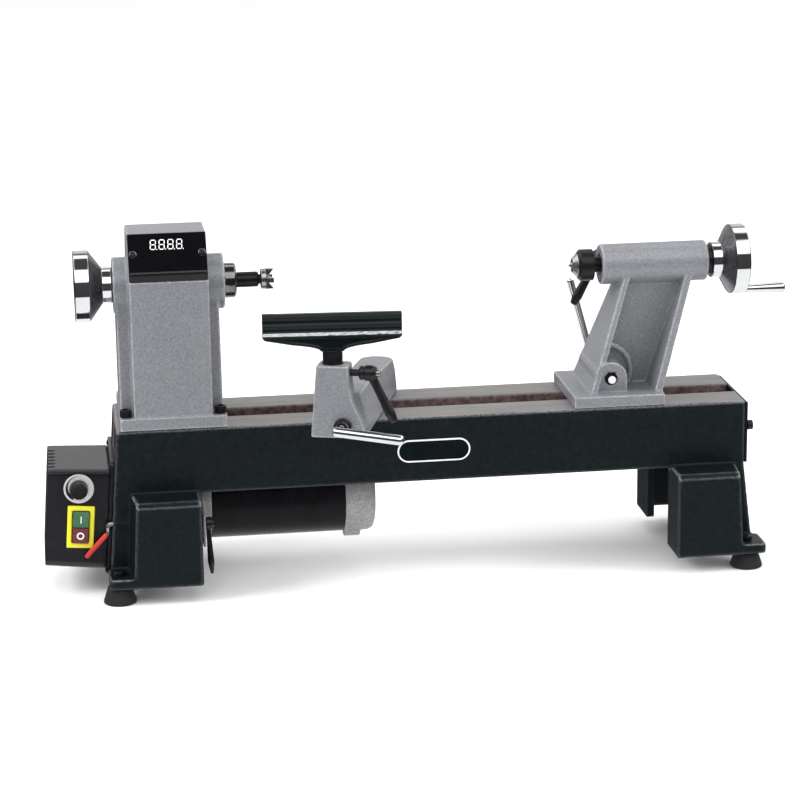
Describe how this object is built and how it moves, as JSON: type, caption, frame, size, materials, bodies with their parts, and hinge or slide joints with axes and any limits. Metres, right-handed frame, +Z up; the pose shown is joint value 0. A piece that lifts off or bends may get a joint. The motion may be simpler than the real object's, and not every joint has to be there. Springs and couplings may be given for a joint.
{
  "type": "wood lathe",
  "caption": "Bench-top wood lathe: slotted cast bed on rubber feet, belt-driven headstock with speed display, sliding banjo with tool rest, tailstock with screw-fed quill.",
  "frame": {"origin": "middle of the whole lathe's bounding box, on the plane of the feet", "axes": "+X from headstock to tailstock along the spindle, +Y from the operator to the back, +Z up"},
  "size_m": [0.8555, 0.291, 0.4069],
  "materials": {
    "bed_paint": "fine textured enamel, satin",
    "silver_paint": "rough cast under silver-grey paint",
    "chrome": "bright plated",
    "steel": "turned and ground",
    "black_steel": "blackened",
    "rest_paint": "smooth gloss enamel",
    "aluminium": "die cast",
    "motor_paint": "satin enamel",
    "box_plastic": "moulded, semi gloss",
    "black_plastic": "moulded",
    "display_glass": "polished",
    "rubber": "moulded",
    "yellow_plastic": "moulded",
    "green_plastic": "moulded",
    "red_plastic": "moulded",
    "red_sleeve": "dipped"
  },
  "bodies": {
    "bed": {"bed_casting": "bed_paint", "bed_end_plate": "black_steel", "bed_end_bolt": "black_steel", "foot_front_left": "rubber", "foot_front_right": "rubber", "foot_rear_left": "rubber", "foot_rear_right": "rubber", "foot_bolt_front_left": "black_steel", "foot_bolt_front_right": "black_steel", "foot_bolt_rear_left": "black_steel", "foot_bolt_rear_right": "black_steel", "headstock_casting": "silver_paint", "headstock_bolt_left": "black_steel", "headstock_bolt_right": "black_steel", "display_housing": "black_plastic", "display_window": "display_glass", "spindle_bearing_left": "steel", "spindle_bearing_right": "steel", "control_box_plate": "box_plastic", "control_box_cover": "box_plastic", "switch_plate": "yellow_plastic", "motor_pivot_bolt": "black_steel", "drive_belt": "rubber"},
    "pulley_door": {"headstock_cover": "silver_paint"},
    "spindle": {"spindle": "steel", "spindle_pulley": "aluminium", "outboard_handwheel": "chrome", "spindle_collar": "black_steel", "drive_centre": "steel"},
    "motor": {"motor_housing": "motor_paint", "motor_end_bell": "aluminium", "motor_end_cap": "aluminium"},
    "motor_rotor": {"motor_armature": "steel", "motor_pulley": "aluminium"},
    "belt_tension_lever": {"tension_lever": "chrome", "tension_lever_sleeve": "red_sleeve"},
    "motor_lock": {"motor_lock_lever": "black_plastic"},
    "start_button": {"start_button": "green_plastic"},
    "stop_button": {"stop_button": "red_plastic"},
    "speed_knob": {"speed_knob": "black_plastic"},
    "banjo_plate": {"banjo_clamp_plate": "black_steel"},
    "banjo_bolt": {"banjo_clamp_bolt": "steel"},
    "banjo": {"banjo_casting": "silver_paint"},
    "banjo_clamp": {"banjo_clamp_shaft": "black_steel", "banjo_clamp_bar": "chrome"},
    "rest_post": {"tool_rest_post": "black_steel"},
    "tool_rest": {"tool_rest": "rest_paint"},
    "rest_lever": {"tool_rest_lever": "black_plastic"},
    "tailstock": {"tailstock_casting": "silver_paint", "quill_thrust_ring": "black_steel", "tailstock_clamp_bolt": "steel"},
    "tail_wheel": {"tailstock_handwheel": "chrome", "quill_screw": "steel"},
    "tail_crank": {"crank_handle": "chrome"},
    "quill": {"quill": "steel", "live_centre_housing": "black_steel"},
    "live_centre": {"live_centre_point": "steel"},
    "quill_lock": {"quill_lock_lever": "black_plastic"},
    "tail_clamp": {"tailstock_clamp_shaft": "black_steel", "tailstock_clamp_bar": "chrome"}
  },
  "joints": [
    {"name": "pulley_door_hinge", "type": "hinge", "parent": "bed", "child": "pulley_door", "pos_m": [-0.27832, 0.10768, 0.22], "axis": [-1, 0, 0], "range_deg": [0, 100]},
    {"name": "spindle_turn", "type": "hinge", "parent": "bed", "child": "spindle", "pos_m": [-0.27432, 0.04148, 0.3424], "axis": [1, 0, 0], "continuous": true},
    {"name": "motor_swing", "type": "hinge", "parent": "bed", "child": "motor", "pos_m": [-0.25432, 0.11148, 0.091], "axis": [-1, 0, 0], "range_deg": [0, 5], "deforming": ["drive_belt"]},
    {"name": "motor_turn", "type": "hinge", "parent": "motor", "child": "motor_rotor", "pos_m": [-0.27432, 0.04148, 0.091], "axis": [1, 0, 0], "continuous": true},
    {"name": "belt_tension_turn", "type": "hinge", "parent": "bed", "child": "belt_tension_lever", "pos_m": [-0.35032, -0.01712, 0.083], "axis": [-1, 0, 0], "range_deg": [0, 40]},
    {"name": "motor_lock_turn", "type": "hinge", "parent": "bed", "child": "motor_lock", "pos_m": [-0.24432, -0.03352, 0.083], "axis": [-1, 0, 0], "range_deg": [0, 75]},
    {"name": "start_press", "type": "slide", "parent": "bed", "child": "start_button", "axis": [0, 1, 0], "range_m": [0, 0.003], "stiffness_N_per_m": 400},
    {"name": "stop_press", "type": "slide", "parent": "bed", "child": "stop_button", "axis": [0, 1, 0], "range_m": [0, 0.003], "stiffness_N_per_m": 400},
    {"name": "speed_turn", "type": "hinge", "parent": "bed", "child": "speed_knob", "pos_m": [-0.38644, -0.0226, 0.12414], "axis": [0, 1, 0], "range_deg": [0, 270]},
    {"name": "banjo_travel", "type": "slide", "parent": "bed", "child": "banjo_plate", "axis": [1, 0, 0], "range_m": [-0.03, 0.15]},
    {"name": "banjo_swing", "type": "hinge", "parent": "banjo_plate", "child": "banjo_bolt", "pos_m": [-0.05622, 0.04148, 0.17], "axis": [0, 0, 1], "range_deg": [-10, 20]},
    {"name": "banjo_reach", "type": "slide", "parent": "banjo_bolt", "child": "banjo", "axis": [0.3007, 0.9537, 0], "range_m": [-0.04, 0.04]},
    {"name": "banjo_clamp_turn", "type": "hinge", "parent": "banjo", "child": "banjo_clamp", "pos_m": [-0.09345, -0.07658, 0.204], "axis": [-0.3007, -0.9537, 0], "range_deg": [0, 100]},
    {"name": "rest_height", "type": "slide", "parent": "banjo", "child": "rest_post", "axis": [0, 0, 1], "range_m": [-0.003, 0.03]},
    {"name": "rest_turn", "type": "hinge", "parent": "rest_post", "child": "tool_rest", "pos_m": [-0.10632, -0.07252, 0.284], "axis": [0, 0, 1], "range_deg": [-40, 40]},
    {"name": "rest_lever_turn", "type": "hinge", "parent": "banjo", "child": "rest_lever", "pos_m": [-0.08642, -0.08089, 0.261], "axis": [-0.9537, 0.3007, 0], "range_deg": [0, 80]},
    {"name": "tailstock_travel", "type": "slide", "parent": "bed", "child": "tailstock", "axis": [1, 0, 0], "range_m": [-0.15, 0.095]},
    {"name": "tail_wheel_turn", "type": "hinge", "parent": "tailstock", "child": "tail_wheel", "pos_m": [0.35568, 0.04148, 0.3424], "axis": [-1, 0, 0], "range_deg": [0, 3240]},
    {"name": "quill_travel", "type": "slide", "parent": "tailstock", "child": "quill", "axis": [-1, 0, 0], "range_m": [0, 0.045]},
    {"name": "crank_turn", "type": "hinge", "parent": "tail_wheel", "child": "tail_crank", "pos_m": [0.40568, 0.02848, 0.3094], "axis": [1, 0, 0], "continuous": true},
    {"name": "live_centre_turn", "type": "hinge", "parent": "quill", "child": "live_centre", "pos_m": [0.18568, 0.04148, 0.3424], "axis": [1, 0, 0], "continuous": true},
    {"name": "quill_lock_turn", "type": "hinge", "parent": "tailstock", "child": "quill_lock", "pos_m": [0.22168, 0.06548, 0.3424], "axis": [0, 1, 0], "range_deg": [0, 60]},
    {"name": "tail_clamp_turn", "type": "hinge", "parent": "tailstock", "child": "tail_clamp", "pos_m": [0.21868, 0.04148, 0.219], "axis": [0, 1, 0], "range_deg": [0, 60]}
  ],
  "couplings": [
    {"joint": "motor_turn", "follows": "spindle_turn", "ratio": 1.3019},
    {"joint": "belt_tension_turn", "follows": "motor_swing", "ratio": 8},
    {"joint": "quill_travel", "follows": "tail_wheel_turn", "m_per_rad": 0.00079577}
  ]
}
